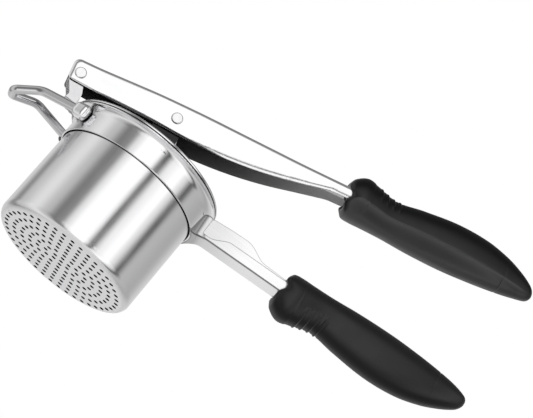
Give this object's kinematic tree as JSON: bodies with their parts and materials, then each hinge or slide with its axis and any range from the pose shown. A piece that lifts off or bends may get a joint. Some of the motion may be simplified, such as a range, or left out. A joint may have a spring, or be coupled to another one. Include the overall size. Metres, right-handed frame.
{
  "type": "potato ricer",
  "caption": "Hand press with a perforated round hopper in a welded frame, a hinged lever that drives a swinging plunger disc, and two soft grips.",
  "frame": {"origin": "centre of the hopper's outer floor", "axes": "+Z along the hopper's axis towards its open rim, +X towards the handles, +Y to the left of somebody who looks along +X"},
  "size_m": [0.2805, 0.0912, 0.1574],
  "materials": {
    "polished_steel": "mirror-polished stainless steel",
    "lever_steel": "polished stainless sheet",
    "pressing_steel": "satin stainless sheet",
    "wire_steel": "polished stainless rod",
    "pin_steel": "plain turned steel",
    "grip_core_plastic": "plain moulded core",
    "grip_rubber": "fine matte soft-touch moulding",
    "grip_cap_plastic": "fine matte moulding"
  },
  "bodies": {
    "frame": {"hopper": "polished_steel", "frame_collar": "polished_steel", "lower_arm_channel": "polished_steel", "lower_arm_liner": "polished_steel", "pivot_bracket": "polished_steel", "pivot_sleeve": "pin_steel", "rest_wire": "wire_steel", "rest_sockets": "polished_steel", "lower_grip_core": "grip_core_plastic", "lower_grip_cover": "grip_rubber", "lower_grip_cap": "grip_cap_plastic", "lower_grip_pin": "pin_steel"},
    "lever": {"lever_channel": "lever_steel", "pivot_rivet": "pin_steel", "pivot_washers": "pin_steel", "plunger_rivet": "pin_steel", "plunger_washers": "pin_steel", "upper_grip_core": "grip_core_plastic", "upper_grip_cover": "grip_rubber", "upper_grip_cap": "grip_cap_plastic", "upper_grip_pin": "pin_steel"},
    "plunger": {"plunger_stem": "lever_steel", "plunger_sleeve": "pin_steel", "plunger_disc": "pressing_steel", "disc_rivets": "pin_steel"}
  },
  "joints": [
    {"name": "lever_hinge", "type": "hinge", "parent": "frame", "child": "lever", "pos_m": [-0.0543, 0, 0.0815], "axis": [0, -1, 0], "range_deg": [0, 60]},
    {"name": "plunger_hinge", "type": "hinge", "parent": "lever", "child": "plunger", "pos_m": [-0.002, 0, 0.0944], "axis": [0, -1, 0], "range_deg": [-38, 0]}
  ],
  "couplings": [
    {"joint": "plunger_hinge", "follows": "lever_hinge", "ratio": -0.62}
  ]
}
